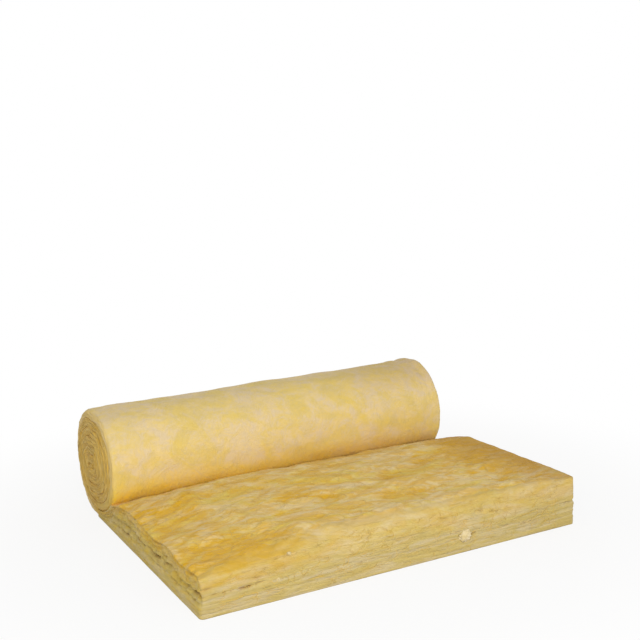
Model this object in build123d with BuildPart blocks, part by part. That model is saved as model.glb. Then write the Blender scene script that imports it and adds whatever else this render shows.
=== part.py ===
from build123d import *
import os

# Part-unrolled roll of glass-wool insulation: one continuous mat.
#
# The wool is wound tightly into a roll that lies on its side and sags a little. The last stretch of
# the mat runs out from under the roll along the floor and swells from its wound thickness to its
# full one. Its top rolls gently, and one side edge has been pressed down and lies lower.
#
# X runs along the roll, the mat runs out towards -Y, and the floor is Z = 0. The origin is the
# middle of the footprint, on the floor.

# The mat, in millimetres. The flat length runs from below the roll's axis to the cut end.
mat_width = 1200
full_thickness = 150
flat_length = 856
front_rounding = 40

# The roll. It is as high as it was wound, and the sag makes it that much longer from front to back.
# The pitch is the thickness of one wound turn, and the dome is how far the innermost turns stand
# out beyond the outermost one at each end.
roll_height = 350
sag = 38
turn_pitch = 28
end_dome = 15
seam_width = 5
seam_depth = 12

# Where the roll rests against the mat, and how far it takes the mat to swell to full thickness.
crease_height = 95
crease_slope = 0.4
swell_length = 200

# The crests and hollows of the flat stretch's top: how far each lies above or below the full
# thickness, evenly spaced from the end of the swell to the rounding at the cut end. Each row is
# one section, at its share of the mat's width from the pressed-down edge.
top_rolls = {
    0: (-40, -47, -49, -37, -50, -42),
    0.13: (-18, -26, -30, -22, -29, -28),
    0.32: (-1, -6, 0, -10, -4, -8),
    0.58: (-3, 3, -5, 0, -7, -1),
    0.83: (1, -6, 0, 3, -5, 0),
    1: (-2, -2, -2, -2, -2, -2),
}

# The spiral has two centres. Half turns at the back are struck from one, those at the front from
# the other, half a pitch higher, and level runs as long as the sag join them above and below.
back_radius = roll_height / 2
front_radius = back_radius - turn_pitch / 2
roll_y = (flat_length - back_radius - sag / 2) / 2
back_y = roll_y + sag / 2
front_y = roll_y - sag / 2
back_centre = (back_y, back_radius)
front_centre = (front_y, back_radius + turn_pitch / 2)
whole_turns = int((front_radius - seam_width) / turn_pitch)

left_x = -mat_width / 2
right_x = mat_width / 2
cut_end_y = roll_y - flat_length

# The roll's axis lies midway between its front and its back.
axis_y = (back_y + back_radius + front_y - front_radius) / 2
roll_axis = Axis((0, axis_y, back_radius), (1, 0, 0))

# The crease, as a point on the outermost front half turn, and its angle about that turn's centre.
crease_drop = front_centre[1] - crease_height
crease_y = front_y - (front_radius**2 - crease_drop**2) ** 0.5
crease_angle = Vector(1, 0).get_signed_angle(Vector(crease_y - front_y, -crease_drop)) % 360


def roll_outline(x):
    """The wound turns seen from the end."""
    top = roll_height
    with BuildSketch(Plane.YZ.offset(x)) as outline:
        with BuildLine():
            CenterArc(back_centre, back_radius, -90, 180)
            Line((back_y, top), (front_y, top))
            CenterArc(front_centre, front_radius, 90, 180)
            Polyline((front_y, turn_pitch), (front_y, 0), (back_y, 0))
        make_face()
    return outline.sketch


def turn_seams(x):
    """The line between the turns, from the crease under the roll and inwards, as a narrow band."""
    with BuildSketch(Plane.YZ.offset(x)) as seams:
        with BuildLine() as line:
            CenterArc(front_centre, front_radius, crease_angle, 270 - crease_angle)
            for turn in range(1, whole_turns + 1):
                bottom = turn * turn_pitch
                top = roll_height - bottom
                Line((front_y, bottom), (back_y, bottom))
                CenterArc(back_centre, back_radius - bottom, -90, 180)
                Line((back_y, top), (front_y, top))
                CenterArc(front_centre, front_radius - bottom, 90, 180)
        trace(line.line, seam_width)
    return seams.sketch


def barrel_outline(inset):
    """Half the lengthwise section of a barrel whose domed ends bound the roll, moved in by inset."""
    rim = (back_radius + sag + front_radius) / 2
    dome_radius = (rim**2 + end_dome**2) / (2 * end_dome)
    left, right = left_x + inset, right_x - inset
    with BuildSketch(Plane.XZ.offset(-axis_y)) as outline:
        with BuildLine():
            Line((left - end_dome, back_radius), (right + end_dome, back_radius))
            RadiusArc((left - end_dome, back_radius), (left, back_radius + rim), dome_radius)
            RadiusArc((right + end_dome, back_radius), (right, back_radius + rim), -dome_radius)
            Line((left, back_radius + rim), (left, back_radius + 2 * rim))
            Line((right, back_radius + rim), (right, back_radius + 2 * rim))
            Line((left, back_radius + 2 * rim), (right, back_radius + 2 * rim))
        make_face()
    return outline.sketch


def flat_outline(share, rolls):
    """A section of the flat stretch at a share of the mat's width, reaching below the floor."""
    swell_y = crease_y - swell_length
    rounding_y = cut_end_y + front_rounding
    step = (rounding_y - swell_y) / (len(rolls) - 1)
    tops = [(swell_y + place * step, full_thickness + rise) for place, rise in enumerate(rolls)]
    crease = (crease_y, crease_height)
    corner_end = (cut_end_y, full_thickness + rolls[-1] - front_rounding)
    with BuildSketch(Plane.YZ.offset(left_x + share * mat_width)) as outline:
        with BuildLine():
            Spline(crease, *tops, tangents=[(-1, crease_slope), (-1, 0)])
            RadiusArc(tops[-1], corner_end, -front_rounding)
            Polyline(corner_end, (cut_end_y, -turn_pitch), (front_y, -turn_pitch))
            Polyline((front_y, -turn_pitch), front_centre, crease)
        make_face()
    return outline.sketch


with BuildPart() as flat_stretch:
    loft([flat_outline(share, rolls) for share, rolls in top_rolls.items()])
    split(bisect_by=Plane.XY, keep=Keep.TOP)

with BuildPart() as wound_turns:
    extrude(roll_outline(left_x - end_dome), amount=mat_width + 2 * end_dome)
    revolve(barrel_outline(0), roll_axis, mode=Mode.INTERSECT)

with BuildPart() as seam_cuts:
    extrude(turn_seams(left_x - end_dome), amount=end_dome + seam_depth)
    extrude(turn_seams(right_x + end_dome), amount=-end_dome - seam_depth)
    revolve(barrel_outline(seam_depth), roll_axis, mode=Mode.SUBTRACT)

with BuildPart() as wool_mat:
    add(wound_turns.part)
    add(flat_stretch.part)
    add(seam_cuts.part, mode=Mode.SUBTRACT)

wool_mat.part.label = "wool_mat"
os.makedirs("parts", exist_ok=True)
export_step(wool_mat.part, "parts/wool_mat.step")
print("volume in cubic metres", round(wool_mat.part.volume / 1e9, 4))
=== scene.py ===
"""Looks of a part-unrolled roll of glass wool: the wound roll, its turn ends and the flat stretch.

Metres. X runs along the roll, the flat stretch runs out towards -Y and the floor is Z = 0.
Every piece carries four values at each point: its place in the unwound wool (across the mat,
along it, and through its thickness), how far it belongs to a cut edge, how much painted shade
darkens it (in crevices and tears, in the crease, between the turns, and over the cut end, its
ridge and the right of the tops), and how yellow it is: the wool's own yellow in hollows and
patches, and, over the roll's crease, painted light that makes up for the shade there. The
materials are mixed from these.
"""

import math
from types import SimpleNamespace

import bpy
import numpy as np
from mathutils import Matrix, Vector


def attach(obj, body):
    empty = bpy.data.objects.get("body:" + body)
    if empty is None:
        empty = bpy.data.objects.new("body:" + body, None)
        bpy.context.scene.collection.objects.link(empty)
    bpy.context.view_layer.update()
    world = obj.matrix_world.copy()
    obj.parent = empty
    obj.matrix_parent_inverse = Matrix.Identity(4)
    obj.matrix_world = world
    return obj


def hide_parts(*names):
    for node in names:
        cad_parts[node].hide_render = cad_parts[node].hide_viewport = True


# The mat and the roll, as the solid has them.
MAT_WIDTH = 1.2
FULL_THICKNESS = 0.150
FLAT_LENGTH = 0.856
ROLL_HEIGHT = 0.350
SAG = 0.038
PITCH = 0.028
END_DOME = 0.015
CREASE_HEIGHT = 0.095

LEFT_X = -MAT_WIDTH / 2
RIGHT_X = MAT_WIDTH / 2
BACK_RADIUS = ROLL_HEIGHT / 2
FRONT_RADIUS = BACK_RADIUS - PITCH / 2
ROLL_Y = (FLAT_LENGTH - BACK_RADIUS - SAG / 2) / 2
BACK_Y = ROLL_Y + SAG / 2
FRONT_Y = ROLL_Y - SAG / 2
CUT_END_Y = ROLL_Y - FLAT_LENGTH
FRONT_CENTRE_Z = BACK_RADIUS + PITCH / 2
AXIS_Y = (BACK_Y + BACK_RADIUS + FRONT_Y - FRONT_RADIUS) / 2
CREASE_Y = FRONT_Y - math.sqrt(FRONT_RADIUS**2 - (FRONT_CENTRE_Z - CREASE_HEIGHT) ** 2)
WHOLE_TURNS = 6

# Size of the smallest mesh cells on the surfaces that show.
CELL = 0.004
NOISE_TABLE = 4096

# How far the wound turns wander from their spiral, and over what length.
WANDER = 0.004
WANDER_LENGTH = 0.110

# The rims of the outermost turn, from its inner face to its skin: how deep in the turn each point of
# the profile lies, as a share of the turn's thickness, and how far in from the mat's edge.
RIM_DEPTHS = np.array([1.00, 1.00, 0.97, 0.92, 0.84, 0.75, 0.64, 0.53, 0.42, 0.31, 0.21, 0.12, 0.05])
RIM_INSETS = np.array([34, 5, 3.4, 2.1, 1.0, 0.4, 0.1, 0, 0.2, 1.0, 2.4, 4.4, 7.2]) / 1000
RIM_WIDTH = 0.011

# The end of an inner turn, from its outer face to its inner one: where the points of the profile
# lie, as shares of its thickness, and how far in from the mat's edge those by its faces are.
TURN_SHARES = np.array([-1, -1, 1, 4, 8, *range(14, 93, 6), 96, 99, 101, 101]) / 100
TURN_INSETS = np.array([34, 3.6, 2.5, 1.6, 0.8, 0.3, 0.1]) / 1000


def smooth(low, high, value):
    """0 below low, 1 above high, and an even rise between them."""
    share = np.clip((value - low) / (high - low), 0, 1)
    return share * share * (3 - 2 * share)


def noise_field(seed):
    """A smooth random field of about -1 to 1 whose bumps are one unit across."""
    rng = np.random.default_rng(seed)
    order = rng.permutation(NOISE_TABLE)
    slopes = rng.normal(size=(NOISE_TABLE, 3))
    slopes /= np.linalg.norm(slopes, axis=1)[:, None]

    def noise(points):
        cell = np.floor(points).astype(int)
        inside = points - cell
        ease = inside**3 * (inside * (inside * 6 - 15) + 10)
        total = np.zeros(len(points))
        for corner in np.ndindex(2, 2, 2):
            at = (cell + corner) % NOISE_TABLE
            pick = order[(order[at[:, 0]] + at[:, 1]) % NOISE_TABLE]
            pick = order[(pick + at[:, 2]) % NOISE_TABLE]
            share = np.prod(np.where(corner, ease, 1 - ease), axis=1)
            total += share * np.einsum("ij,ij->i", slopes[pick], inside - corner)
        return total * 1.6

    return noise


def lumps(points, size, seed, layers=3, fade=0.5):
    """Noise in several layers, each half the size and a weaker one of the last."""
    total = np.zeros(len(points))
    for layer in range(layers):
        scaled = points / np.array(size) * 2**layer
        total += fade**layer * noise_field(seed + layer)(scaled)
    return total


def spaced(start, end, step):
    """Even places from start to end, about a step apart."""
    return np.linspace(start, end, max(2, round(abs(end - start) / step) + 1))


def strip_faces(numbers, flip=False):
    """Quads over a grid of vertex numbers."""
    a, b = numbers[:-1, :-1], numbers[1:, :-1]
    c, d = numbers[1:, 1:], numbers[:-1, 1:]
    order = (a, d, c, b) if flip else (a, b, c, d)
    return np.stack(order, axis=-1).reshape(-1, 4)


def vertex_normals(points, quads):
    """Outward directions at the vertices, from the quads around each one."""
    corner = points[quads]
    across = np.cross(corner[:, 2] - corner[:, 0], corner[:, 3] - corner[:, 1])
    normals = np.zeros_like(points)
    for column in range(4):
        np.add.at(normals, quads[:, column], across)
    return normals / np.maximum(np.linalg.norm(normals, axis=1), 1e-12)[:, None]


def wool_object(name, points, faces, place, values, material):
    """A smooth closed mesh that carries the wool's place and its other values at each point."""
    mesh = bpy.data.meshes.new(name)
    mesh.from_pydata(points.tolist(), [], faces)
    mesh.attributes.new("place", "FLOAT_VECTOR", "POINT").data.foreach_set("vector", place.ravel())
    for label, value in values.items():
        mesh.attributes.new(label, "FLOAT", "POINT").data.foreach_set("value", value)
    mesh.shade_smooth()
    mesh.materials.append(material)
    mesh.update()
    wool = bpy.data.objects.new(name, mesh)
    bpy.context.scene.collection.objects.link(wool)
    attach(wool, "root")
    return wool


# The winding

def winding(first_turn, last_turn, step):
    """The outside of the strip as wound, turn by turn from the bottom of the roll.

    Gives its (y, z) places, its outward (y, z) directions, and the wool's thickness there.
    """
    places, outward, thickness = [], [], []

    def arc(centre, radius, start):
        angles = np.radians(start + 180 * np.arange(0, 1, step / max(math.pi * radius, step)))
        ray = np.stack([np.cos(angles), np.sin(angles)], axis=1)
        places.append(np.array(centre) + radius * ray)
        outward.append(ray)
        thickness.append(np.full(len(ray), min(PITCH, radius)))

    def level(start_y, end_y, z, up, room):
        y = spaced(start_y, end_y, step)[:-1]
        places.append(np.stack([y, np.full(len(y), z)], axis=1))
        outward.append(np.tile([0.0, up], (len(y), 1)))
        thickness.append(np.full(len(y), min(PITCH, room)))

    for turn in range(first_turn, last_turn):
        drop = turn * PITCH
        room = ROLL_HEIGHT - 2 * drop
        level(FRONT_Y, BACK_Y, drop, -1.0, room)
        if turn == WHOLE_TURNS:
            break
        arc((BACK_Y, BACK_RADIUS), BACK_RADIUS - drop, -90)
        level(BACK_Y, FRONT_Y, ROLL_HEIGHT - drop, 1.0, room)
        arc((FRONT_Y, FRONT_CENTRE_Z), FRONT_RADIUS - drop, 90)
    return np.concatenate(places), np.concatenate(outward), np.concatenate(thickness)


def settling(x):
    """How much wider and higher the roll is than it was wound: low and wide at its left end."""
    share = (x - LEFT_X) / MAT_WIDTH
    return 1.028 - 0.024 * share, 0.968 + 0.045 * share


def settled(points):
    """The roll as it has settled on the floor, with its turns wandering a little."""
    width, height = settling(points[:, 0])
    scaled = points / WANDER_LENGTH
    moved = points.copy()
    moved[:, 1] = AXIS_Y + (points[:, 1] - AXIS_Y) * width + WANDER * noise_field(11)(scaled)
    rise = WANDER * noise_field(12)(scaled) * smooth(0, 0.05, points[:, 2])
    moved[:, 2] = points[:, 2] * height + rise
    return moved


def dome(points):
    """How far the middle of the roll's ends stands out beyond their rims."""
    y = (points[:, 1] - AXIS_Y) / BACK_RADIUS
    z = (points[:, 2] - BACK_RADIUS) / BACK_RADIUS
    return END_DOME * np.clip(1 - y**2 - z**2, 0, 1)


def swept(line, outward, run, profile_x, profile_depth, thickness):
    """A grid of points: the profile's places across the mat and into the wool, along a line."""
    depth = profile_depth[None, :] * thickness[:, None]
    x = np.broadcast_to(profile_x, depth.shape)
    y = line[:, :1] - outward[:, :1] * depth
    z = line[:, 1:] - outward[:, 1:] * depth
    points = np.stack([x, y, z], axis=-1).reshape(-1, 3)
    along = np.broadcast_to(run[:, None], depth.shape)
    place = np.stack([x, along, depth], axis=-1).reshape(-1, 3)
    return points, place


def run_along(line):
    """The length of the line up to each of its points."""
    return np.concatenate([[0], np.cumsum(np.linalg.norm(np.diff(line, axis=0), axis=1))])


def closed_sweep_faces(rings, around):
    """Quads round a closed profile and along its rings, and one face at each end."""
    numbers = np.arange(rings * around).reshape(rings, around)
    numbers = np.concatenate([numbers, numbers[:, :1]], axis=1)
    quads = strip_faces(numbers)
    ends = [numbers[0, :-1].tolist(), numbers[-1, :-1][::-1].tolist()]
    return quads, quads.tolist() + ends


def skin_relief(x, along, normals):
    """How far the roll's skin rises: shallow waves, wrinkles at its ends and a lip at the right one."""
    skin = np.stack([x, along, np.zeros_like(x)], axis=1)
    relief = 0.0028 * lumps(skin, (0.30, 0.14, 1), seed=21)
    relief += 0.0004 * lumps(skin, (0.035, 0.02, 1), seed=25)
    wrinkles = lumps(skin, (0.022, 0.30, 1), seed=31, layers=2)
    relief += 0.0022 * smooth(0.40, 0.56, x) * wrinkles
    folds = np.abs(lumps(skin, (0.03, 0.25, 1), seed=35, layers=2))
    relief -= 0.0018 * smooth(0.50, 0.90, -1.6 * x) * folds
    lip = smooth(0.570, 0.592, x) * (0.35 + 0.65 * np.clip(normals[:, 2], 0, 1))
    return relief + 0.005 * lip


def outer_turn(material):
    """The outermost turn, which makes the skin of the roll, with its two rims."""
    line, outward, thickness = winding(0, 1, CELL)
    run = run_along(line)
    skin_x = spaced(LEFT_X + RIM_WIDTH, RIGHT_X - RIM_WIDTH, CELL)
    profile_x = np.concatenate([LEFT_X + RIM_INSETS, skin_x, (RIGHT_X - RIM_INSETS)[::-1]])
    profile_depth = np.concatenate([RIM_DEPTHS, np.zeros(len(skin_x)), RIM_DEPTHS[::-1]])
    points, place = swept(line, outward, run, profile_x, profile_depth, thickness)
    quads, faces = closed_sweep_faces(len(line), len(profile_x))
    normals = vertex_normals(points, quads)
    x, along, depth = place.T

    # The skin's relief stops at the rims, which have the fine ridges of cut wool. The ridges fade
    # where the turn starts and ends, beside the flat stretch and the inner turns.
    rim = smooth(0.0005, 0.006, depth)
    moved = points + normals * (skin_relief(x, along, normals) * (1 - rim))[:, None]
    side = np.sign(x) * rim * smooth(0.030, 0.010, RIGHT_X - np.abs(x))
    ridges = 0.0030 * lumps(np.stack([along, depth, x * 0], axis=1), (0.045, 0.006, 1), seed=41)
    joined = np.maximum(smooth(0.08, 0.0, along), smooth(run[-1] - 0.25, run[-1], along))
    moved[:, 0] += side * (ridges * (1 - joined) + dome(points))
    moved = settled(moved)
    moved[:, 2] = np.maximum(moved[:, 2], 0)

    # Painted shade darkens it inside its rims, where they meet the other turns and the flat stretch,
    # and at the top on the right, where the lamps leave it dim. Over the crease it is more golden:
    # partly the wool's own yellow, and partly painted light that makes up for the shade there.
    height = moved[:, 2]
    painted_shade = 0.5 * smooth(0.85, 0.99, depth / PITCH)
    painted_shade = np.maximum(painted_shade, 0.2 * smooth(0.1, 0.5, x) * smooth(0.26, 0.34, height))
    painted_shade = np.maximum(painted_shade, 0.2 * joined * rim)
    yellow_and_painted_light = smooth(0.18, 0.09, height) * (moved[:, 1] < ROLL_Y) * (1 - 0.4 * smooth(-0.2, 0.4, x))
    yellow_and_painted_light = np.maximum(yellow_and_painted_light, joined * rim)
    values = {"cut": rim, "painted_shade": painted_shade, "yellow_and_painted_light": yellow_and_painted_light}
    return wool_object("outer_turn", moved, faces, place, values, material)


def turn_ends(name, side, material):
    """The cut ends of the inner turns at one side: the wound strip's edge, seen as a spiral."""
    line, outward, thickness = winding(1, WHOLE_TURNS + 1, CELL * 0.8)
    inset = np.zeros(len(TURN_SHARES))
    inset[: len(TURN_INSETS)] = TURN_INSETS
    inset[-len(TURN_INSETS) :] = TURN_INSETS[::-1]
    across, profile_x = TURN_SHARES, side * (RIGHT_X - inset)
    if side < 0:
        across, profile_x = across[::-1], profile_x[::-1]
    points, place = swept(line, outward, run_along(line), profile_x, across, thickness)
    _, faces = closed_sweep_faces(len(line), len(across))

    x, along, depth = place.T
    lie = np.stack([along, depth, x * 0], axis=1)
    end_face = smooth(0.034, 0.006, RIGHT_X - np.abs(x))
    bulge = 0.0035 * lumps(lie, (0.16, 0.05, 1), seed=51 + side)
    ridges = 0.0034 * lumps(lie, (0.06, 0.0065, 1), seed=61 + side)
    relief = (bulge + ridges - 0.002) * smooth(0, 0.12, along)
    moved = points.copy()
    moved[:, 0] += side * end_face * (dome(points) + relief)
    moved = settled(moved)

    # Painted shade darkens the line between two turns, apart from where torn wool hides it.
    share = depth / np.repeat(thickness, len(across))
    torn = lumps(lie, (0.05, 0.02, 1), seed=67 + side)
    painted_shade = 0.55 * smooth(0.43, 0.50, np.abs(share - 0.5)) * smooth(-0.8, 0.3, torn)
    values = {"cut": np.ones(len(x)), "painted_shade": painted_shade, "yellow_and_painted_light": 0.6 * smooth(0.0, 0.9, torn)}
    return wool_object(name, moved, faces, place, values, material)


# The flat stretch

SWELL_LENGTH = 0.200
FRONT_ROUNDING = 0.040

# The mesh cells under the roll, where the stretch runs on by one of them past its wound turns.
HIDDEN_CELL = 0.012

# Crests and hollows of the mat's top, in millimetres above the full thickness, as the solid has
# them: each row is a section at its share of the width, from the end of the swell to the cut end.
TOP_ROLLS = {
    0: (-40, -47, -49, -37, -50, -42),
    0.13: (-18, -26, -30, -22, -29, -28),
    0.32: (-1, -6, 0, -10, -4, -8),
    0.58: (-3, 3, -5, 0, -7, -1),
    0.83: (1, -6, 0, 3, -5, 0),
    1: (-2, -2, -2, -2, -2, -2),
}

# How high the mat meets the roll at its left and right ends, and how bluntly it swells from there.
CREASE_LEFT, CREASE_RIGHT = 0.080, 0.091
SWELL_LEFT, SWELL_RIGHT = 1.9, 1.3

# How much deeper the mat dips in right beside the roll.
CREASE_DIP = 0.005

# The wisps of the top lie a quarter of a right angle or so off the roll's line.
WISP_LEAN = 0.40
WISP_TURN = np.array(Matrix.Rotation(WISP_LEAN, 3, "Z"))

# How wide the top edge of the cut end is rounded, at places from its left corner to its right one,
# and then the top's side edges and the two upright corners.
TOP_ROUNDING = (
    (-0.60, 0.030),
    (-0.50, 0.062),
    (-0.35, 0.070),
    (-0.10, 0.050),
    (0.30, 0.034),
    (0.60, 0.012),
)
SIDE_ROUNDING = 0.006
CORNER_ROUNDING = 0.012

# Soft ridges of paler wool over the top: the line of each, its half-width and its height.
RIDGES = (
    (((-0.44, 0.02), (-0.41, -0.125), (-0.315, -0.374), (-0.193, -0.505)), 0.028, 0.006),
    (((-0.19, -0.50), (0.02, -0.47), (0.20, -0.46), (0.40, -0.47)), 0.030, 0.004),
    (((-0.10, -0.10), (0.05, -0.20), (0.12, -0.30)), 0.022, 0.003),
)

# Where the top shows its yellow most: the middle of each place, its half-lengths and its strength.
GOLDEN_PLACES = (
    (-0.49, -0.46, 0.16, 0.110, 1.15),
    (-0.52, -0.10, 0.10, 0.16, 0.6),
    (0.09, -0.36, 0.08, 0.032, 0.9),
    (0.20, 0.10, 0.30, 0.060, 0.7),
    (0.52, -0.15, 0.14, 0.280, 1.2),
    (-0.15, -0.25, 0.07, 0.045, 0.5),
)

# The layers of the left side, from the floor up: how far each height stands out or in.
SIDE_SHARES = (0.00, 0.24, 0.32, 0.40, 0.50, 0.58, 0.66, 0.74, 0.86, 1.00)
SIDE_DEPTHS = (0.000, 0.002, -0.005, -0.003, -0.012, -0.008, -0.004, -0.009, -0.007, -0.012)

# The lines between those layers, and how wide an open crevice in one is, as shares of the height.
LAYER_HEIGHTS = (0.29, 0.48, 0.66)
CREVICE_WIDTH = 0.026

# Open crevices in the cut edges: which layer line, from where to where round the edges, and how
# deep. Round the edges, 0 is the left corner of the cut end and the left edge is below 0.
CREVICES = (
    (1, -0.50, -0.22, 0.016),
    (1, -0.14, 0.19, 0.012),
    (2, -0.34, -0.17, 0.009),
    (2, -0.05, 0.10, 0.006),
    (0, -0.30, -0.20, 0.007),
    (0, -0.13, -0.02, 0.007),
    (0, -0.68, -0.48, 0.009),
    (1, 1.17, 1.36, 0.006),
    (0, 1.45, 1.62, 0.004),
)

# Small tears in the cut end: how wide they are, and where each starts and ends along it and up it,
# and its depth.
TEAR_WIDTH = 0.0036
TEARS = (
    (0.108, 0.165, 0.114, 0.106, 0.006),
    (0.234, 0.312, 0.110, 0.100, 0.006),
    (0.212, 0.232, 0.043, 0.047, 0.010),
    (0.323, 0.359, 0.050, 0.048, 0.006),
    (0.548, 0.596, 0.068, 0.064, 0.005),
    (-0.160, -0.130, 0.044, 0.046, 0.005),
    (-0.337, -0.300, 0.122, 0.117, 0.005),
    (-0.470, -0.430, 0.074, 0.070, 0.006),
    (-0.020, 0.030, 0.085, 0.082, 0.004),
    (0.400, 0.450, 0.040, 0.037, 0.004),
)


def eased_along(value, knots, levels):
    """Levels at the knots, joined by a smooth curve through each of them.

    A knot has one level for all the values, or a level for each of them.
    """
    knots = np.asarray(knots, float)
    slopes = np.gradient(levels, knots, axis=0)
    cell = np.clip(np.searchsorted(knots, value, side="right") - 1, 0, len(knots) - 2)
    span = knots[cell + 1] - knots[cell]
    t = np.clip((value - knots[cell]) / span, 0, 1)
    rows = np.arange(len(value)) if levels.ndim > 1 and levels.shape[1] == len(value) else None

    def at(table, index):
        return table[index, rows] if rows is not None else table[index]

    low, high = at(levels, cell), at(levels, cell + 1)
    low_slope, high_slope = at(slopes, cell) * span, at(slopes, cell + 1) * span
    rise = (2 * t**3 - 3 * t**2 + 1) * low + (3 * t**2 - 2 * t**3) * high
    return rise + (t**3 - 2 * t**2 + t) * low_slope + (t**3 - t**2) * high_slope


def solid_top(share, y):
    """How high the solid's top lies, at a share of the mat's width and a place along it."""
    swell_y = CREASE_Y - SWELL_LENGTH
    round_y = CUT_END_Y + FRONT_ROUNDING
    knots = np.linspace(swell_y, round_y, len(TOP_ROLLS[0]))[::-1]
    heights = [FULL_THICKNESS + np.array(rolls[::-1], float) / 1000 for rolls in TOP_ROLLS.values()]
    sections = [eased_along(y, knots, section) for section in heights]
    return eased_along(share, list(TOP_ROLLS), np.array(sections))


def mat_height(x, y):
    """How high the mat's top lies above the floor."""
    share = (x - LEFT_X) / MAT_WIDTH
    top = solid_top(share, y)
    waver = lumps(np.stack([x, x * 0, x * 0], axis=1), (0.12, 1, 1), seed=69, layers=4, fade=0.65)
    crease = CREASE_LEFT + (CREASE_RIGHT - CREASE_LEFT) * smooth(0, 0.3, share) + 0.005 * waver
    swell = np.clip((CREASE_Y - y) / SWELL_LENGTH, 0, 1)
    bluntness = SWELL_LEFT + (SWELL_RIGHT - SWELL_LEFT) * share
    height = crease + (top - crease) * (1 - (1 - swell) ** bluntness)

    # Under the roll the mat fits the outermost turn, down to its wound thickness.
    under = FRONT_CENTRE_Z - np.sqrt(np.clip(FRONT_RADIUS**2 - (y - FRONT_Y) ** 2, 0, None))
    under = np.where(y > FRONT_Y, PITCH, under)
    beneath = smooth(CREASE_Y - 0.01, CREASE_Y + 0.01, y)
    return height + (np.minimum(under, height) - height) * beneath


def rounded(first, second, first_limit, second_limit, radius):
    """Rounds the edge where two coordinates both reach their limits, to the given radius.

    A limit is a pair: where the face lies, and 1 or -1 for the way it looks.
    """
    (first_face, first_way), (second_face, second_way) = first_limit, second_limit
    one = np.clip(radius - (first_face - first) * first_way, 0, None)
    two = np.clip(radius - (second_face - second) * second_way, 0, None)
    scale = np.maximum(one, two) / np.maximum(np.hypot(one, two), 1e-9)
    pulled = np.where((one > 0) & (two > 0), 1 - scale, 0)
    return first - first_way * one * pulled, second - second_way * two * pulled


def layer_rows():
    """Heights of the mesh rows up a cut edge, as shares, closest together at the layer lines."""
    even = spaced(0, 1, CELL * 0.8 / FULL_THICKNESS)
    offsets = np.array([-0.022, -0.010, 0.0, 0.010, 0.022])
    lines = (np.array(LAYER_HEIGHTS)[:, None] + offsets).ravel()
    gap = np.min(np.abs(even[:, None] - lines[None, :]), axis=1)
    return np.sort(np.concatenate([even[gap > 0.012], lines]))


def flat_lattice():
    """The outside of the flat stretch as a lattice.

    Gives the numbers of its points, -1 inside the mat, and where each point lies: across the mat,
    along it, and up it as a share of its height.
    """
    across = spaced(LEFT_X, RIGHT_X, CELL)
    seen = spaced(CUT_END_Y, CREASE_Y + HIDDEN_CELL, CELL)
    hidden = spaced(CREASE_Y + 2 * HIDDEN_CELL, FRONT_Y + HIDDEN_CELL, HIDDEN_CELL)
    along = np.concatenate([seen, hidden])
    up = layer_rows()
    outside = np.zeros((len(across), len(along), len(up)), bool)
    outside[0] = outside[-1] = outside[:, 0] = outside[:, :, -1] = True
    outside[:, -1, 0] = True
    numbers = np.full(outside.shape, -1)
    numbers[outside] = np.arange(outside.sum())
    i, j, k = np.nonzero(outside)
    return numbers, across[i], along[j], up[k]


def border_face(grid):
    """One face round the border of a grid of vertex numbers."""
    sides = [grid[:-1, 0], grid[-1, :-1], grid[:0:-1, -1], grid[0, :0:-1]]
    return np.concatenate(sides)[::-1].tolist()


def flat_faces(numbers):
    """Quads over the top and the cut edges, and with them one face underneath and one at the back."""
    grids = [
        strip_faces(numbers[:, :, -1]),
        strip_faces(numbers[:, 0, :]),
        strip_faces(numbers[0], flip=True),
        strip_faces(numbers[-1]),
    ]
    quads = np.concatenate(grids)
    return quads, quads.tolist() + [border_face(numbers[:, :, 0]), border_face(numbers[:, -1, :])]


def way_round(x, y):
    """How far round the cut edges each point lies: 0 is the left corner of the cut end."""
    left, front, right = CUT_END_Y - y, x - LEFT_X, MAT_WIDTH + y - CUT_END_Y
    return np.where(x == LEFT_X, left, np.where(x == RIGHT_X, right, front))


def soft_corners(x, y, z, height):
    """The points with the cut end's top edge, the top's side edges and the corners rounded."""
    side = (np.where(x < 0, LEFT_X, RIGHT_X), np.where(x < 0, -1, 1))
    top_radius = np.interp(x, *zip(*TOP_ROUNDING))
    side_radius = SIDE_ROUNDING + 0.004 * smooth(0.10, 0.0, y - CUT_END_Y)
    y, z = rounded(y, z, (CUT_END_Y, -1), (height, 1), top_radius)
    x, z = rounded(x, z, side, (height, 1), side_radius)
    x, y = rounded(x, y, side, (CUT_END_Y, -1), CORNER_ROUNDING)
    return np.stack([x, y, z], axis=1)


def plain_stretch():
    """The flat stretch before its wool is ruffled, and how far each point belongs to each face.

    The wool of the top runs on over the upper half of the cut end, so woolly is both, and edge is
    the rest. The ridge is where the top bends down to the cut end.
    """
    numbers, x, y, share = flat_lattice()
    height = mat_height(x, y)
    points = soft_corners(x, y, share * height, height)
    quads, faces = flat_faces(numbers)
    normals = vertex_normals(points, quads)

    around = way_round(x, y)
    face = np.stack([around, share * FULL_THICKNESS, around * 0], axis=1)
    top = smooth(0.35, 0.9, normals[:, 2])
    front = (1 - top) * smooth(0.3, 0.8, -normals[:, 1])
    left = (1 - top) * smooth(0.3, 0.8, -normals[:, 0])
    upper = front * smooth(0.38, 0.78, share + 0.16 * lumps(face, (0.10, 0.03, 1), seed=85))
    woolly = np.maximum(top, upper)
    bend = smooth(0.08, 0.30, -normals[:, 1])
    ridge = bend * smooth(0.10, 0.02, points[:, 1] - CUT_END_Y) * woolly
    return SimpleNamespace(
        numbers=numbers, quads=quads, faces=faces, points=points, normals=normals,
        x=points[:, 0], y=points[:, 1], z=points[:, 2],
        share=share, height=height, around=around, face=face,
        top=top, front=front, left=left, upper=upper, ridge=ridge, woolly=woolly, edge=1 - woolly,
    )


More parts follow.
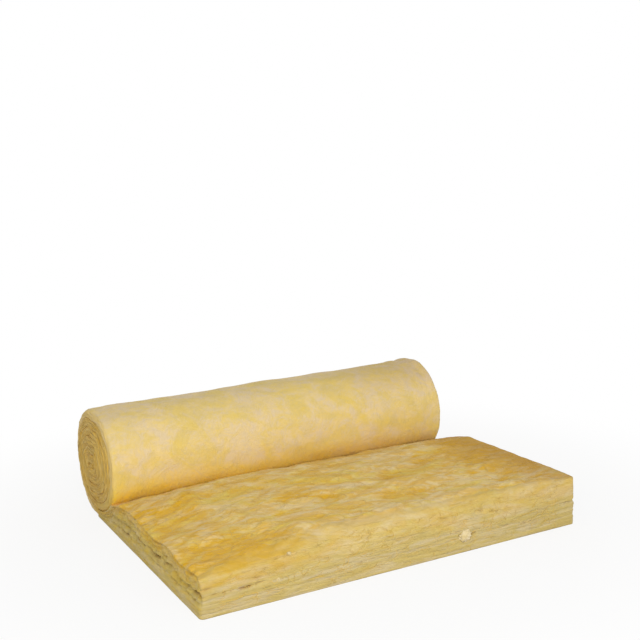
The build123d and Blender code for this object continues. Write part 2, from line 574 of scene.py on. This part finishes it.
def top_relief(flat):
    """How far the wool of the top rises and falls: lumps, wrinkles and the paler ridges."""
    lying = flat.points @ WISP_TURN
    relief = 0.0026 * lumps(lying, (0.20, 0.11, 0.11), seed=71, layers=2)
    relief += 0.0046 * lumps(lying, (0.095, 0.048, 0.050), seed=75, layers=2)
    relief += 0.0013 * lumps(lying, (0.045, 0.015, 0.015), seed=81, layers=2)
    for line, width, rise in RIDGES:
        relief += rise * np.exp(-((from_line(flat.points, line) / width) ** 2)) * flat.top
    return relief


def relief_share(flat):
    """How much of its relief the top has: less by the roll and on the right, more elsewhere."""
    share = smooth(CREASE_Y + 0.02, CREASE_Y - 0.08, flat.y) * 0.75 + 0.25
    share *= 1 - 0.75 * smooth(RIGHT_X - 0.10, RIGHT_X, flat.x)
    share *= 1 + 0.4 * smooth(0.14, 0.02, flat.y - CUT_END_Y)
    share *= 1 + 0.8 * smooth(0.06, 0.01, flat.x - LEFT_X)
    return share


def edge_layers(flat):
    """How far the cut edges stand out: in soft layers all round, and in ragged ones on the left."""
    foot = 0.2 + 0.8 * smooth(0, 0.16, flat.share)
    bulge = 0.0030 * lumps(flat.face, (0.14, 0.05, 1), seed=91)
    bulge += 0.0020 * lumps(flat.face, (0.05, 0.007, 1), seed=95, layers=2) * (1 - 0.6 * flat.left)
    uneven = 1 + 0.7 * lumps(flat.face * [1, 0, 0], (0.13, 1, 1), seed=97, layers=2)
    ragged = np.interp(flat.share, SIDE_SHARES, SIDE_DEPTHS) * np.clip(uneven, 0.2, 2.2)
    tufts = 0.0072 * lumps(flat.face, (0.030, 0.019, 1), seed=99, layers=2)
    ragged += tufts * smooth(0.20, 0.40, flat.share)
    ragged *= smooth(FRONT_Y - 0.01, CREASE_Y, flat.y)
    return bulge * foot + ragged * flat.left


def crevice_depth(flat, number, start, end, depth):
    """How deep one crevice cuts into the edges, along a layer line that wavers and closes up."""
    run = flat.face * [1, 0, 0]
    opened = smooth(start - 0.02, start + 0.04, flat.around)
    closed = smooth(end + 0.02, end - 0.04, flat.around)
    broken = smooth(-0.4, 0.5, lumps(run, (0.035, 1, 1), seed=101 + number, layers=2))
    across = flat.share - LAYER_HEIGHTS[number] - 0.03 * lumps(run, (0.09, 1, 1), seed=111 + number)
    narrow = np.exp(-((across / CREVICE_WIDTH) ** 2))
    return depth * (opened * closed) * broken * (1 - flat.top) * narrow


def edge_openings(flat):
    """How deep the crevices and tears cut into the edges, and how much painted shade darkens them."""
    groove, dark = np.zeros((2, len(flat.points)))
    for row in CREVICES:
        depth = crevice_depth(flat, *row)
        groove = np.maximum(groove, depth)
        dark = np.maximum(dark, smooth(0.002, 0.009, depth))
    broken = smooth(-0.5, 0.4, lumps(flat.face, (0.02, 0.01, 1), seed=119, layers=2))
    for start, end, low, high, depth in TEARS:
        beside = np.clip(flat.x, start, end)
        level = low + (high - low) * (beside - start) / (end - start)
        away = np.hypot(flat.x - beside, flat.z - level)
        tear = flat.front * broken * np.exp(-((away / TEAR_WIDTH) ** 2))
        groove = np.maximum(groove, depth * tear)
        dark = np.maximum(dark, 0.5 * tear)
    return groove, dark


def beside_roll(moved, top):
    """How far each point of the top lies in the dip right beside the roll, from 0 to 1."""
    width, height = settling(moved[:, 0])
    y = (moved[:, 1] - AXIS_Y) / width + AXIS_Y - FRONT_Y
    z = moved[:, 2] / height - FRONT_CENTRE_Z
    from_roll = np.hypot(y, z) - FRONT_RADIUS
    return smooth(0.011, 0.001, from_roll) * top * smooth(LEFT_X + 0.01, LEFT_X + 0.08, moved[:, 0])


def cut_share(flat):
    """How far each point shows the mat's cut layers, and not the wisps of its top."""
    brow = smooth(0.55, 0.90, flat.share + 0.10 * lumps(flat.face, (0.06, 0.02, 1), seed=87))
    wisps = flat.woolly * (1 - 0.6 * np.maximum(flat.front, flat.ridge))
    return 1 - np.maximum(wisps, 0.6 * (flat.left * brow))


def yellow_share(flat, relief):
    """How yellow each point is: in hollows, in the golden places and in the left side's layers."""
    yellow = 0.9 * smooth(-0.001, 0.007, -relief) * (flat.woolly - 0.6 * flat.front)
    waver = 0.60 * lumps(flat.points @ WISP_TURN, (0.09, 0.028, 0.028), seed=121)
    for middle_x, middle_y, half_x, half_y, strength in GOLDEN_PLACES:
        away = np.hypot((flat.x - middle_x) / half_x, (flat.y - middle_y) / half_y) + waver
        yellow += strength * smooth(1.5, 0.3, away) * (flat.woolly - 0.4 * flat.front)
    yellow *= 1 - 0.65 * flat.front * flat.edge
    blotches = smooth(0.0, 0.6, lumps(flat.face, (0.07, 0.02, 1), seed=125))
    yellow += flat.left * flat.edge * (0.45 + 0.8 * blotches)
    return np.clip(yellow, 0, 1)


def shade_share(flat, dark):
    """How much painted shade darkens each point: its crevices, and the cut end, its ridge and the top's
    right side.
    """
    far_left = smooth(-0.15, -0.45, flat.x)
    shaded = 0.16 * flat.front + 0.16 * flat.upper * far_left
    dark = np.maximum(dark * (1 - 0.35 * flat.left), shaded)
    dark = np.maximum(dark, (0.20 + 0.10 * far_left) * flat.ridge)
    return np.maximum(dark, 0.45 * smooth(0.38, 0.60, flat.x) * flat.top)


def flat_stretch(material):
    """The run-out stretch: lumpy on top, layered on its three cut edges, flat underneath.

    Gives the object, and the sheets that wisps can lie on: its cut end, its top and its left side.
    """
    flat = plain_stretch()
    relief = top_relief(flat)
    groove, dark = edge_openings(flat)
    move = relief * flat.woolly * relief_share(flat) * (1 - 0.3 * flat.front)
    move += edge_layers(flat) * flat.edge - groove
    moved = flat.points + flat.normals * move[:, None]

    # The mat dips in beside the roll, so the crease is a sharp line, and painted shade darkens it.
    dip = beside_roll(moved, flat.top)
    moved[:, 2] -= CREASE_DIP * dip
    dark = np.maximum(dark, 0.8 * smooth(0.45, 0.95, dip))

    # The layers wander up and down along the edges, and only the underside touches the floor.
    wander = 0.05 * lumps(flat.face, (0.22, 0.08, 1), seed=115, layers=2)
    wander = wander * flat.share * (1 - flat.share) * 4
    moved[:, 2] += (1 - flat.top) * wander * flat.height
    moved[:, 2] = np.where(flat.share == 0, 0, np.maximum(moved[:, 2], 0.0005))

    values = {
        "cut": cut_share(flat),
        "painted_shade": shade_share(flat, dark),
        "yellow_and_painted_light": yellow_share(flat, relief),
    }
    mat = wool_object("flat_stretch", moved, flat.faces, flat.points, values, material)
    normals = vertex_normals(moved, flat.quads)
    grids = (flat.numbers[:, 0, :], flat.numbers[:, :, -1], flat.numbers[0])
    return mat, [(moved[grid], normals[grid]) for grid in grids]


def from_line(points, line):
    """How far each point lies from a line of (x, y) places, seen from above."""
    nearest = np.full(len(points), np.inf)
    for start, end in zip(line[:-1], line[1:]):
        start, way = np.array(start), np.array(end) - np.array(start)
        along = np.clip((points[:, :2] - start) @ way / (way @ way), 0, 1)
        gap = points[:, :2] - start - along[:, None] * way
        nearest = np.minimum(nearest, np.hypot(*gap.T))
    return nearest


# Loose wool

STRAND_SIDES = 5
STRAND_RINGS = 10
KNOT_SIDES = 26
KNOT_RINGS = 22

# Small knots of wool that stick out of the cut end: the middle, the size and the seed of each.
KNOTS = {
    "front_knot": ((0.196, CUT_END_Y + 0.001, 0.047), (0.041, 0.015, 0.030), 141),
    "upper_knot": ((-0.352, CUT_END_Y + 0.005, 0.116), (0.011, 0.008, 0.007), 145),
    "lower_knot": ((-0.388, CUT_END_Y + 0.001, 0.057), (0.012, 0.006, 0.009), 149),
}


def between_cells(grid, a, b):
    """Values of a grid at places between its points."""
    a, b = np.clip(a, 0, grid.shape[0] - 1.001), np.clip(b, 0, grid.shape[1] - 1.001)
    i, j = a.astype(int), b.astype(int)
    a, b = (a - i)[:, None], (b - j)[:, None]
    low = grid[i, j] * (1 - b) + grid[i, j + 1] * b
    high = grid[i + 1, j] * (1 - b) + grid[i + 1, j + 1] * b
    return low * (1 - a) + high * a


def strand_route(rng, grid, reach):
    """Where one bent wisp runs over a sheet, counted in the sheet's cells both ways."""
    cell = np.linalg.norm(grid[1, 0] - grid[0, 0]), np.linalg.norm(grid[0, 1] - grid[0, 0])
    step = rng.uniform(0.0012, 0.0036)
    curl = rng.normal(0, 0.10) + np.cumsum(rng.normal(0, 0.16, STRAND_RINGS))
    heading = rng.normal(0, 0.30) + np.cumsum(curl) * 0.5
    across = rng.uniform(0.03, 0.94) * grid.shape[0] + np.cumsum(step * np.cos(heading)) / cell[0]
    up = rng.uniform(*reach) * grid.shape[1] + np.cumsum(step * np.sin(heading)) / cell[1]
    return across, up


def strand_tube(rng, base, out):
    """One wisp on its route over a sheet: a thin tube with pointed ends, lifted off in its middle."""
    bow = np.sin(math.pi * np.linspace(0, 1, STRAND_RINGS))
    lift = rng.uniform(-0.0004, 0.0004) + rng.uniform(0, 0.0016) * bow**2
    middle = base + out * lift[:, None]
    beside = np.cross(np.gradient(middle, axis=0), out)
    beside /= np.maximum(np.linalg.norm(beside, axis=1), 1e-9)[:, None]
    radius = rng.uniform(0.0004, 0.0009) * (0.12 + 0.88 * bow**0.6)
    turn = (np.arange(STRAND_SIDES) * 2 * math.pi / STRAND_SIDES)[None, :, None]
    ring = np.cos(turn) * out[:, None] + np.sin(turn) * beside[:, None]
    return (middle[:, None] + ring * radius[:, None, None]).reshape(-1, 3)


def loose_strands(name, sheets, seed, material):
    """Loose wisps that lie along the wool, each with its own tone.

    A sheet is its points, its normals, how many wisps lie on it, and how far up it they reach.
    """
    rng = np.random.default_rng(seed)
    _, strand_faces = closed_sweep_faces(STRAND_RINGS, STRAND_SIDES)
    points, faces, places, tones = [], [], [], []
    for grid, normals, count, reach in sheets:
        for _ in range(count):
            across, up = strand_route(rng, grid, reach)
            base, out = between_cells(grid, across, up), between_cells(normals, across, up)
            first = len(points) * STRAND_RINGS * STRAND_SIDES
            faces += [[first + number for number in face] for face in strand_faces]
            points.append(strand_tube(rng, base, out))
            places.append(np.repeat(base, STRAND_SIDES, axis=0))
            tones.append(np.full(STRAND_RINGS * STRAND_SIDES, rng.uniform(0, 0.55)))
    points, places, tones = np.concatenate(points), np.concatenate(places), np.concatenate(tones)
    points[:, 2] = np.maximum(points[:, 2], 0.0005)
    values = {"cut": tones * 0 + 0.6, "painted_shade": tones * 0, "yellow_and_painted_light": tones}
    return wool_object(name, points, faces, places, values, material)


def wool_knot(name, middle, size, seed, material):
    """A small knot of pale wool that sticks out of the cut end."""
    across = np.linspace(-0.96, 0.96, KNOT_RINGS)
    turn = np.arange(KNOT_SIDES) * 2 * math.pi / KNOT_SIDES
    ring = np.stack([np.zeros(KNOT_SIDES), np.cos(turn), np.sin(turn)], axis=1)
    points = ring[None] * np.sqrt(1 - across**2)[:, None, None]
    points[:, :, 0] = across[:, None]
    points = points.reshape(-1, 3)
    swell = 1 + 0.42 * lumps(points, (0.75, 0.55, 0.55), seed, layers=4, fade=0.6)
    points = points * swell[:, None] * np.array(size) / 2 + np.array(middle)
    _, faces = closed_sweep_faces(KNOT_RINGS, KNOT_SIDES)
    none = np.zeros(len(points))
    values = {"cut": none, "painted_shade": none, "yellow_and_painted_light": none}
    return wool_object(name, points, faces, points, values, material)


# Materials

def add_node(tree, kind, links=None, **settings):
    """A shader node with its settings, and its inputs given by name or number."""
    node = tree.nodes.new("ShaderNode" + kind)
    for name, value in settings.items():
        setattr(node, name, value)
    for name, value in (links or {}).items():
        if isinstance(value, bpy.types.NodeSocket):
            tree.links.new(value, node.inputs[name])
        else:
            node.inputs[name].default_value = value
    return node


def times(tree, vector, factor):
    """A vector multiplied by another, axis by axis."""
    links = {0: vector, 1: factor}
    return add_node(tree, "VectorMath", links, operation="MULTIPLY").outputs[0]


def figure(tree, operation, first, second=0.0):
    """A sum, difference, product or the like of two numbers."""
    links = {0: first, 1: second}
    return add_node(tree, "Math", links, operation=operation).outputs[0]


def ranged(tree, value, low, high):
    """0 below low, 1 above high, and an even rise between them."""
    links = {"Value": value, "From Min": low, "From Max": high}
    return add_node(tree, "MapRange", links, interpolation_type="SMOOTHSTEP").outputs["Result"]


def blended(tree, share, first, second):
    """The first colour, and the second one by its share."""
    links = {"Factor": share, 6: first, 7: second}
    return add_node(tree, "Mix", links, data_type="RGBA").outputs[2]


def grained(tree, vector, detail, roughness, distortion):
    """Blotchy noise, one blotch to each unit of the vector."""
    links = {"Vector": vector, "Scale": 1.0, "Detail": detail, "Roughness": roughness}
    links["Distortion"] = distortion
    return add_node(tree, "TexNoise", links).outputs["Fac"]


def carried(tree, label, output="Fac"):
    """A value that the mesh carries at its points."""
    return add_node(tree, "Attribute", attribute_name=label).outputs[output]


def placed(tree, group, **inputs):
    """What a shader group gives, placed in a material with these inputs."""
    return add_node(tree, "Group", inputs, node_tree=group).outputs


def new_group(name, inputs, outputs):
    """An empty shader group with its named sockets."""
    group = bpy.data.node_groups.new(name, "ShaderNodeTree")
    for label, kind in inputs:
        group.interface.new_socket(label, in_out="INPUT", socket_type="NodeSocket" + kind)
    for label, kind in outputs:
        group.interface.new_socket(label, in_out="OUTPUT", socket_type="NodeSocket" + kind)
    start = group.nodes.new("NodeGroupInput")
    end = group.nodes.new("NodeGroupOutput")
    return group, start.outputs, end.inputs


def fibre_group():
    """Two sets of short bent fibres, one turned against the other. Grain is fibres to the metre."""
    inputs = [("Place", "Vector"), ("Grain", "Vector")]
    inputs += [("Lean", "Float"), ("Turn", "Float"), ("Bend", "Float")]
    group, start, end = new_group("wool_fibres", inputs, [("Height", "Float"), ("Streaks", "Float")])

    # A broad push to and fro, a ninth of a metre wide, bends the fibres.
    place = start["Place"]
    push = add_node(group, "TexNoise", {"Vector": times(group, place, (9.0,) * 3), "Scale": 1.0})
    links = {0: push.outputs["Color"], 1: (0.5,) * 3}
    push = add_node(group, "VectorMath", links, operation="SUBTRACT")
    links = {0: push.outputs[0], "Scale": start["Bend"]}
    push = add_node(group, "VectorMath", links, operation="SCALE")
    links = {0: place, 1: push.outputs[0]}
    bent_place = add_node(group, "VectorMath", links, operation="ADD").outputs[0]
    fields = []
    for angle in (start["Lean"], figure(group, "ADD", start["Lean"], start["Turn"])):
        links = {"Vector": bent_place, "Angle": angle, "Center": (3.0, 5.0, 0.0)}
        lying = add_node(group, "VectorRotate", links, rotation_type="Z_AXIS").outputs[0]
        fields.append(grained(group, times(group, lying, start["Grain"]), 4, 0.58, 0.25))

    # Where the two sets are equally high, a thin strand stands out.
    both = figure(group, "MULTIPLY", figure(group, "ADD", *fields), 0.5)
    gap = figure(group, "ABSOLUTE", figure(group, "SUBTRACT", *fields))
    strand = figure(group, "SUBTRACT", 1.0, ranged(group, gap, 0.0, 0.09))
    height = figure(group, "ADD", both, figure(group, "MULTIPLY", strand, 0.10))
    group.links.new(height, end["Height"])
    group.links.new(ranged(group, both, 0.38, 0.62), end["Streaks"])
    return group


def patch_group():
    """Bent blotches, feathered by the fibres, where the wool holds more of its yellow binder."""
    inputs = [("Place", "Vector"), ("Grain", "Vector")]
    inputs += [("Lean", "Float"), ("Spread", "Float"), ("Fibres", "Float")]
    group, start, end = new_group("binder_patches", inputs, [("Patches", "Float")])
    links = {"Vector": start["Place"], "Angle": start["Lean"]}
    lying = add_node(group, "VectorRotate", links, rotation_type="Z_AXIS").outputs[0]
    blotches = grained(group, times(group, lying, start["Grain"]), 5, 0.6, 1.3)
    feather = figure(group, "MULTIPLY", figure(group, "SUBTRACT", start["Fibres"], 0.55), 0.45)
    field = figure(group, "ADD", blotches, feather)
    low = figure(group, "SUBTRACT", 0.5, start["Spread"])
    high = figure(group, "ADD", 0.5, start["Spread"])
    group.links.new(ranged(group, field, low, high), end["Patches"])
    return group


def colour(red, green, blue):
    """A colour given in the values of an sRGB picture."""
    levels = [value / 255 for value in (red, green, blue)]
    linear = [v / 12.92 if v <= 0.04045 else ((v + 0.055) / 1.055) ** 2.4 for v in levels]
    return (*linear, 1.0)


def face_colour(tree, group, look, place, yellow_and_painted_light, fibres):
    """The wool's faces: pale, with yellow patches, golden hollows and pale streaks of fibre; on the
    roll, the golden also stands for painted light over the crease.
    """
    patch = {"Place": place, "Lean": look["lean"], "Fibres": fibres["Height"]}
    patch["Spread"] = look["softness"]
    broad = placed(tree, group, Grain=look["broad_grain"], **patch)["Patches"]
    small = placed(tree, group, Grain=look["small_grain"], **patch)["Patches"]
    broad = figure(tree, "MULTIPLY", broad, look["broad_share"])
    face = blended(tree, broad, look["pale"], look["yellow"])
    rich = figure(tree, "MULTIPLY", small, look["small_share"])
    rich = figure(tree, "ADD", rich, figure(tree, "MULTIPLY", yellow_and_painted_light, look["yellow_and_painted_light_share"]))
    face = blended(tree, figure(tree, "MINIMUM", rich, 1.0), face, look["golden"])
    streaks = figure(tree, "MULTIPLY", fibres["Streaks"], look["streaks"])
    return blended(tree, streaks, face, look["pale"])


def edge_colour(tree, group, look, place, yellow_and_painted_light, fibres):
    """The wool's cut edges: pale and yellow layers, with shaded lines of fibre between them."""
    patch = {"Place": place, "Lean": 0.0, "Fibres": fibres["Height"], "Spread": 0.14}
    layers = placed(tree, group, Grain=look["edge_patch_grain"], **patch)["Patches"]
    layers = figure(tree, "MULTIPLY", layers, 0.6)
    edge = blended(tree, layers, look["edge_pale"], look["edge_yellow"])
    lines = figure(tree, "MULTIPLY", fibres["Streaks"], look["edge_streaks"])
    edge = blended(tree, lines, edge, look["edge_shade"])
    return blended(tree, figure(tree, "MULTIPLY", yellow_and_painted_light, 0.6), edge, look["edge_golden"])


def wool_material(name, groups, look):
    """Glass wool: matt and fibrous, with its colours, patches and grain from the look."""
    material = bpy.data.materials.new(name)
    material.use_nodes = True
    tree = material.node_tree
    shader = tree.nodes["Principled BSDF"]
    shader.inputs["Roughness"].default_value = 0.95
    shader.inputs["Specular IOR Level"].default_value = 0.15
    shader.inputs["Sheen Weight"].default_value = 0.12
    shader.inputs["Sheen Roughness"].default_value = 0.5

    place = carried(tree, "place", "Vector")
    cut, painted_shade, yellow_and_painted_light = (carried(tree, label) for label in ("cut", "painted_shade", "yellow_and_painted_light"))
    grain = {"Grain": look["grain"], "Lean": look["lean"], "Turn": look["turn"], "Bend": 0.12}
    edge_grain = {"Grain": look["edge_grain"], "Lean": 0.0, "Turn": 0.0, "Bend": 0.012}
    fibres = placed(tree, groups["fibres"], Place=place, **grain)
    edge_fibres = placed(tree, groups["fibres"], Place=place, **edge_grain)

    face = face_colour(tree, groups["patches"], look, place, yellow_and_painted_light, fibres)
    edge = edge_colour(tree, groups["patches"], look, place, yellow_and_painted_light, edge_fibres)
    tone = blended(tree, cut, face, edge)
    # The tone darkens towards a brown by the painted shade each point carries: crevices, tears, the
    # crease, the lines between turns and the darker faces.
    tone = blended(tree, figure(tree, "MULTIPLY", painted_shade, 0.8), tone, look["painted_shade_colour"])
    tree.links.new(tone, shader.inputs["Base Color"])

    face_height = figure(tree, "MULTIPLY", fibres["Height"], look["grain_height"])
    edge_height = figure(tree, "MULTIPLY", edge_fibres["Height"], look["edge_height"])
    links = {"Factor": cut, 2: face_height, 3: edge_height}
    height = add_node(tree, "Mix", links, data_type="FLOAT").outputs[0]
    bump = add_node(tree, "Bump", {"Height": height, "Strength": 1.0, "Distance": 1.0})
    tree.links.new(bump.outputs["Normal"], shader.inputs["Normal"])
    return material


# The looks of the wool. The grains are to the metre, the shares say how far a patch changes the
# colour, and the heights are how deep the fibres' relief is, in metres.
EDGE_COLOURS = {
    "edge_pale": colour(209, 193, 147),
    "edge_yellow": colour(202, 181, 84),
    "edge_golden": colour(214, 178, 46),
    "edge_shade": colour(181, 156, 86),
    # The brown that painted shade darkens the wool towards.
    "painted_shade_colour": colour(150, 96, 30),
    "edge_grain": (9.0, 9.0, 120.0),
    "edge_patch_grain": (7.0, 7.0, 40.0),
    "edge_streaks": 0.28,
    "edge_height": 0.008,
}
SKIN_LOOK = {
    **EDGE_COLOURS,
    "edge_pale": colour(236, 208, 146),
    "edge_yellow": colour(232, 196, 92),
    "edge_golden": colour(220, 186, 70),
    "edge_shade": colour(206, 174, 100),
    "pale": colour(228, 205, 164),
    "yellow": colour(224, 196, 94),
    # Bright golden: also painted light over the roll's crease, making up for the shade there.
    "golden": colour(254, 216, 52),
    "broad_grain": (7.0, 9.0, 9.0),
    "small_grain": (18.0, 22.0, 22.0),
    "softness": 0.155,
    "broad_share": 0.80,
    "small_share": 0.30,
    "yellow_and_painted_light_share": 0.75,
    "grain": (110.0, 20.0, 100.0),
    "lean": -0.45,
    "streaks": 0.25,
    "turn": -0.55,
    "grain_height": 0.0030,
}
MAT_LOOK = {
    **EDGE_COLOURS,
    "pale": colour(232, 205, 145),
    "yellow": colour(226, 196, 64),
    "golden": colour(222, 170, 0),
    "broad_grain": (5.0, 10.0, 10.0),
    "small_grain": (11.0, 24.0, 24.0),
    "softness": 0.12,
    "broad_share": 0.85,
    "small_share": 0.66,
    "yellow_and_painted_light_share": 0.66,
    "grain": (20.0, 72.0, 72.0),
    "lean": 0.28,
    "turn": 0.34,
    "streaks": 0.18,
    "grain_height": 0.0060,
}
TURN_LOOK = {
    **MAT_LOOK,
    "edge_grain": (16.0, 12.0, 210.0),
    "edge_patch_grain": (18.0, 18.0, 90.0),
    "edge_pale": colour(238, 203, 116),
    "edge_yellow": colour(232, 187, 62),
    "edge_golden": colour(228, 180, 50),
    "edge_shade": colour(194, 152, 66),
    "edge_streaks": 0.35,
    "edge_height": 0.012,
}
KNOT_LOOK = {
    **MAT_LOOK,
    "pale": colour(230, 215, 182),
    "yellow": colour(224, 204, 154),
    "golden": colour(214, 188, 120),
}


# The studio

# Where the camera stands, how it is turned, and its focal length for a picture 640 wide.
CAMERA_PLACE = (-1.4302, AXIS_Y - 3.0355, 1.1120)
CAMERA_RIGHT = (0.87567, -0.48214, -0.02734)
CAMERA_UP = (0.10205, 0.12941, 0.98633)
FOCAL_PIXELS = 1010
PICTURE_PIXELS = 640
SENSOR_WIDTH = 36.0

# The lamps: where each hangs, where it points, its width and its power.
LAMPS = {
    "key": ((-1.6, -2.7, 2.0), (0, 0, 0.1), 1.8, 49),
    "fill": ((0.2, -3.3, 0.9), (0, 0, 0.15), 1.6, 24),
    "back": ((0.9, 3.4, 0.6), (0, 0, 0.15), 1.8, 15),
}
ROOM_LIGHT = 0.52

# The floor keeps this share of its shadow near the roll, and loses it between these distances.
SHADOW_SHARE = 0.14
SHADOW_REACH = (0.7, 1.6)
FLOOR_REACH = 12.0
FLOOR_DROP = 0.0005


def stand_camera():
    """The camera, where it stood for the photograph."""
    data = bpy.data.cameras.new("camera")
    data.sensor_width = SENSOR_WIDTH
    data.lens = SENSOR_WIDTH * FOCAL_PIXELS / PICTURE_PIXELS
    camera = bpy.data.objects.new("camera", data)
    bpy.context.scene.collection.objects.link(camera)
    right, up = Vector(CAMERA_RIGHT), Vector(CAMERA_UP)
    turn = Matrix((right, up, right.cross(up))).transposed()
    camera.matrix_world = Matrix.Translation(CAMERA_PLACE) @ turn.to_4x4()
    bpy.context.scene.camera = camera


def hang_light(name, place, aim, size, power):
    """A square lamp that points from its place to its aim."""
    data = bpy.data.lights.new(name, "AREA")
    data.shape = "SQUARE"
    data.size = size
    data.energy = power
    light = bpy.data.objects.new(name, data)
    bpy.context.scene.collection.objects.link(light)
    light.visible_camera = False
    light.location = place
    light.rotation_euler = (Vector(aim) - Vector(place)).to_track_quat("-Z", "Y").to_euler()


def plain_room():
    """A world of soft even light that looks white behind the part."""
    world = bpy.data.worlds.new("studio")
    bpy.context.scene.world = world
    world.use_nodes = True
    tree = world.node_tree
    tree.nodes.clear()
    path = add_node(tree, "LightPath").outputs
    seen = figure(tree, "MAXIMUM", path["Is Camera Ray"], path["Is Glossy Ray"])
    seen = figure(tree, "MAXIMUM", seen, path["Is Transmission Ray"])
    room = add_node(tree, "Background", {"Color": (1, 1, 1, 1), "Strength": ROOM_LIGHT})
    white = add_node(tree, "Background", {"Color": (1, 1, 1, 1), "Strength": 1.0})
    mixed = add_node(tree, "MixShader", {0: seen, 1: room.outputs[0], 2: white.outputs[0]})
    end = add_node(tree, "OutputWorld", {"Surface": mixed.outputs[0]})
    end.is_active_output = True


def floor_material():
    """Pale, plain white away from the roll, and with its shadow beside it."""
    material = bpy.data.materials.new("pale_floor")
    material.use_nodes = True
    tree = material.node_tree
    shader = tree.nodes["Principled BSDF"]
    shader.inputs["Base Color"].default_value = colour(236, 235, 232)
    shader.inputs["Roughness"].default_value = 0.9
    path = add_node(tree, "LightPath").outputs
    seen = figure(tree, "MAXIMUM", path["Is Camera Ray"], path["Is Glossy Ray"])
    where = add_node(tree, "TexCoord").outputs["Object"]
    away = add_node(tree, "VectorMath", {0: where}, operation="LENGTH").outputs["Value"]
    lost = figure(tree, "MULTIPLY", ranged(tree, away, *SHADOW_REACH), SHADOW_SHARE)
    share = figure(tree, "ADD", lost, 1 - SHADOW_SHARE)
    share = figure(tree, "MULTIPLY", share, seen)
    white = add_node(tree, "Emission", {"Color": (1, 1, 1, 1), "Strength": 1.0}).outputs[0]
    mixed = add_node(tree, "MixShader", {0: share, 1: shader.outputs[0], 2: white})
    tree.links.new(mixed.outputs[0], tree.nodes["Material Output"].inputs["Surface"])
    return material


def lay_floor():
    """A wide flat floor just under the part."""
    far = FLOOR_REACH
    corners = [(-far, -far, 0), (far, -far, 0), (far, far, 0), (-far, far, 0)]
    mesh = bpy.data.meshes.new("floor")
    mesh.from_pydata(corners, [], [(0, 1, 2, 3)])
    mesh.materials.append(floor_material())
    floor = bpy.data.objects.new("floor", mesh)
    floor.location = (0, 0, -FLOOR_DROP)
    bpy.context.scene.collection.objects.link(floor)


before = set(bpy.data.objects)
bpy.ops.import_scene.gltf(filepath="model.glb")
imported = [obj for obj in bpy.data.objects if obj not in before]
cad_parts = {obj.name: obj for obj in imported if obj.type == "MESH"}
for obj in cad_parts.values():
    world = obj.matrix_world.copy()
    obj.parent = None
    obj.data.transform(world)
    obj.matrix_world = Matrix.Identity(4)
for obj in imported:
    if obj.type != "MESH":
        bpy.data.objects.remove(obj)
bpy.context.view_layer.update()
stand_camera()
plain_room()
for lamp, setting in LAMPS.items():
    hang_light(lamp, *setting)
bpy.context.scene.view_settings.view_transform = "Standard"
lay_floor()

groups = {"fibres": fibre_group(), "patches": patch_group()}
skin_wool = wool_material("skin_wool", groups, SKIN_LOOK)
mat_wool = wool_material("mat_wool", groups, MAT_LOOK)
turn_wool = wool_material("turn_wool", groups, TURN_LOOK)
knot_wool = wool_material("knot_wool", groups, KNOT_LOOK)

mat, (front_sheet, top_sheet, left_sheet) = flat_stretch(mat_wool)
sheets = [
    (*front_sheet, 520, (0.12, 0.92)),
    (*top_sheet, 160, (0.03, 0.60)),
    (*left_sheet, 70, (0.15, 0.90)),
]
pieces = [
    outer_turn(skin_wool),
    turn_ends("left_turn_ends", -1, turn_wool),
    turn_ends("right_turn_ends", 1, turn_wool),
    mat,
    loose_strands("loose_strands", sheets, 131, mat_wool),
]
for name, knot in KNOTS.items():
    pieces.append(wool_knot(name, *knot, knot_wool))
for piece in pieces:
    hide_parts("wool_mat")
